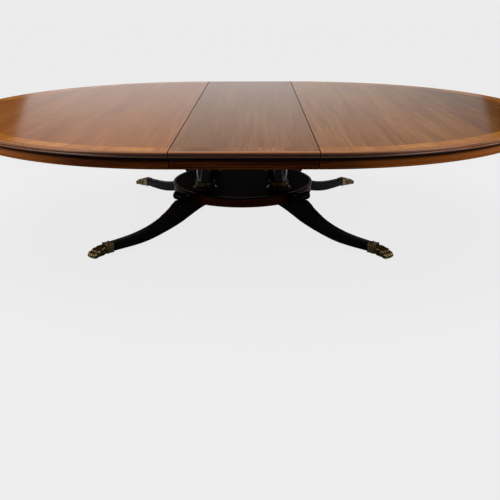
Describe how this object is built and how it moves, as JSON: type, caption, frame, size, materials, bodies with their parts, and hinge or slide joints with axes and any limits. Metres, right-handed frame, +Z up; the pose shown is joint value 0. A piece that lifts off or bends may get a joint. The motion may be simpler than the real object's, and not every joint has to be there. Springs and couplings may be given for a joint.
{
  "type": "extending pedestal dining table",
  "caption": "Round pedestal dining table pulled out over a leaf, with crossbanded top, turned columns, sabre legs and brass paw feet.",
  "frame": {"origin": "on the floor under the middle of the top", "axes": "+X along the table, the way the right end pulls out; +Z up; -Y is the pictured side"},
  "size_m": [3.675, 2.97, 0.75],
  "materials": {
    "mahogany_top": "high gloss polish",
    "crossband": "high gloss polish",
    "mahogany_edge": "gloss polish",
    "ebonised": "ebonised, gloss",
    "brass": "antique, darkened",
    "hidden_wood": "plain, unpolished",
    "steel": "plain"
  },
  "bodies": {
    "base": {"column_back_left": "ebonised", "column_back_right": "ebonised", "column_collars": "brass", "column_front_left": "ebonised", "column_front_right": "ebonised", "knee_scroll_back_left": "ebonised", "knee_scroll_back_right": "ebonised", "knee_scroll_front_left": "ebonised", "knee_scroll_front_right": "ebonised", "leaf_pegs": "hidden_wood", "leg_back_left": "ebonised", "leg_back_right": "ebonised", "leg_bolts": "steel", "leg_front_left": "ebonised", "leg_front_right": "ebonised", "paw_back_left": "brass", "paw_back_right": "brass", "paw_front_left": "brass", "paw_front_right": "brass", "paw_screws": "steel", "pedestal_block": "hidden_wood", "platform_board": "ebonised", "platform_rim": "mahogany_edge", "rail_back": "hidden_wood", "rail_front": "hidden_wood", "rail_screws": "steel"},
    "left_end": {"left_apron": "mahogany_edge", "left_blocks": "hidden_wood", "left_cross_bar": "hidden_wood", "left_crossband": "crossband", "left_edge": "mahogany_edge", "left_keepers": "brass", "left_runner_back": "hidden_wood", "left_runner_front": "hidden_wood", "left_screws": "steel", "left_top": "mahogany_top"},
    "right_end": {"right_apron": "mahogany_edge", "right_blocks": "hidden_wood", "right_cross_bar": "hidden_wood", "right_crossband": "crossband", "right_edge": "mahogany_edge", "right_keepers": "brass", "right_runner_back": "hidden_wood", "right_runner_front": "hidden_wood", "right_screws": "steel", "right_top": "mahogany_top"},
    "leaf": {"catch_pivots": "brass", "leaf_apron_back": "mahogany_edge", "leaf_apron_front": "mahogany_edge", "leaf_blocks": "hidden_wood", "leaf_crossband_back": "crossband", "leaf_crossband_front": "crossband", "leaf_edge_back": "mahogany_edge", "leaf_edge_front": "mahogany_edge", "leaf_top": "mahogany_top"},
    "catch_left_back": {"catch_left_back": "brass"},
    "catch_left_front": {"catch_left_front": "brass"},
    "catch_right_back": {"catch_right_back": "brass"},
    "catch_right_front": {"catch_right_front": "brass"}
  },
  "joints": [
    {"name": "left_end_slide", "type": "slide", "parent": "base", "child": "left_end", "axis": [-1, 0, 0], "range_m": [0, 0.1]},
    {"name": "right_end_slide", "type": "slide", "parent": "base", "child": "right_end", "axis": [1, 0, 0], "range_m": [0, 0.1]},
    {"name": "leaf_lift", "type": "slide", "parent": "base", "child": "leaf", "axis": [0, 0, 1], "range_m": [0, 0.3]},
    {"name": "catch_left_front_swing", "type": "hinge", "parent": "leaf", "child": "catch_left_front", "pos_m": [-0.3175, -0.75, 0.717], "axis": [0, 0, 1], "range_deg": [0, 90]},
    {"name": "catch_left_back_swing", "type": "hinge", "parent": "leaf", "child": "catch_left_back", "pos_m": [-0.3175, 0.75, 0.717], "axis": [0, 0, -1], "range_deg": [0, 90]},
    {"name": "catch_right_front_swing", "type": "hinge", "parent": "leaf", "child": "catch_right_front", "pos_m": [0.3175, -0.75, 0.717], "axis": [0, 0, -1], "range_deg": [0, 90]},
    {"name": "catch_right_back_swing", "type": "hinge", "parent": "leaf", "child": "catch_right_back", "pos_m": [0.3175, 0.75, 0.717], "axis": [0, 0, 1], "range_deg": [0, 90]}
  ]
}
